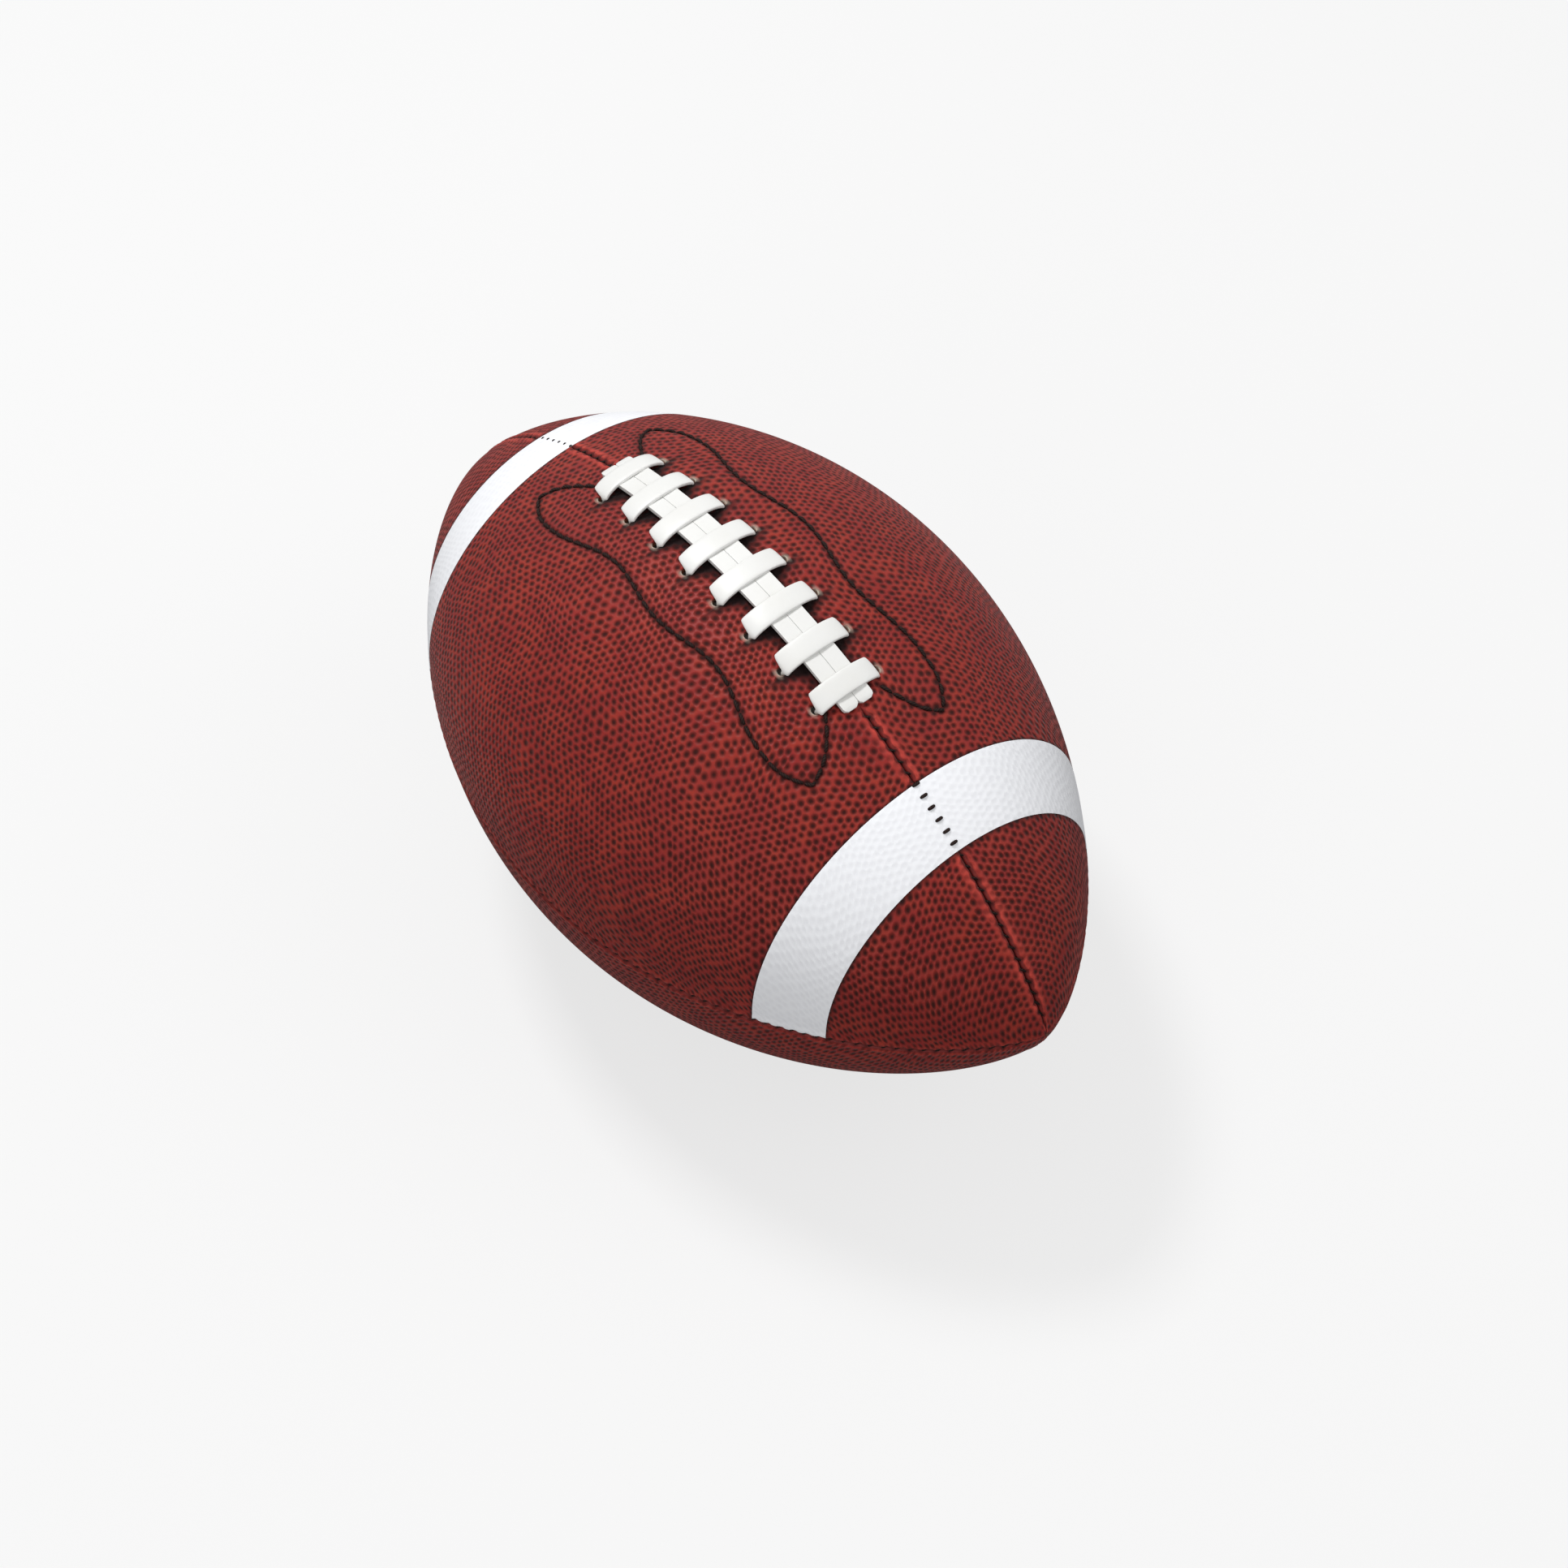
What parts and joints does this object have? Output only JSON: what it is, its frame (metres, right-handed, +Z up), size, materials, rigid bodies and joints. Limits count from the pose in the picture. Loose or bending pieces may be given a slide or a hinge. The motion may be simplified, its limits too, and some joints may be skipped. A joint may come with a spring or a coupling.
{
  "type": "american football",
  "caption": "Pointed oval ball of sewn leather panels over a lined rubber bladder, laced shut along the top, with white end stripes and a needle valve.",
  "frame": {"origin": "the lowest point of the belly, under the middle of the ball, where it would touch a floor", "axes": "+X along the ball's long axis from nose to nose, +Z up through the lacing, +Y to the left panel"},
  "size_m": [0.2836, 0.1698, 0.1735],
  "materials": {
    "cover_leather": "pebbled red-brown leather",
    "lining_fabric": "laminated cotton cloth",
    "stripe_film": "white printed film over the grain",
    "lace_strip": "smooth white vinyl lace",
    "tongue_leather": "thin plain leather",
    "thread": "waxed black thread",
    "bladder_rubber": "smooth butyl rubber",
    "valve_rubber": "moulded rubber"
  },
  "bodies": {
    "root": {"cover_panel_lace_left": "cover_leather", "cover_panel_lace_right": "cover_leather", "cover_panel_back_left": "cover_leather", "cover_panel_back_right": "cover_leather", "lining_lace_left": "lining_fabric", "lining_lace_right": "lining_fabric", "lining_back_left": "lining_fabric", "lining_back_right": "lining_fabric", "stripe_front_left": "stripe_film", "stripe_front_right": "stripe_film", "stripe_rear_left": "stripe_film", "stripe_rear_right": "stripe_film", "lace_facing_left": "lining_fabric", "lace_facing_right": "lining_fabric", "lace_tongue": "tongue_leather", "lace": "lace_strip", "contour_stitch_left": "thread", "contour_stitch_right": "thread", "seam_thread_top": "thread", "seam_thread_bottom": "thread", "seam_thread_left": "thread", "seam_thread_right": "thread", "bladder": "bladder_rubber", "valve_body": "valve_rubber", "valve_plug": "valve_rubber", "valve_patch": "lining_fabric"}
  },
  "joints": []
}
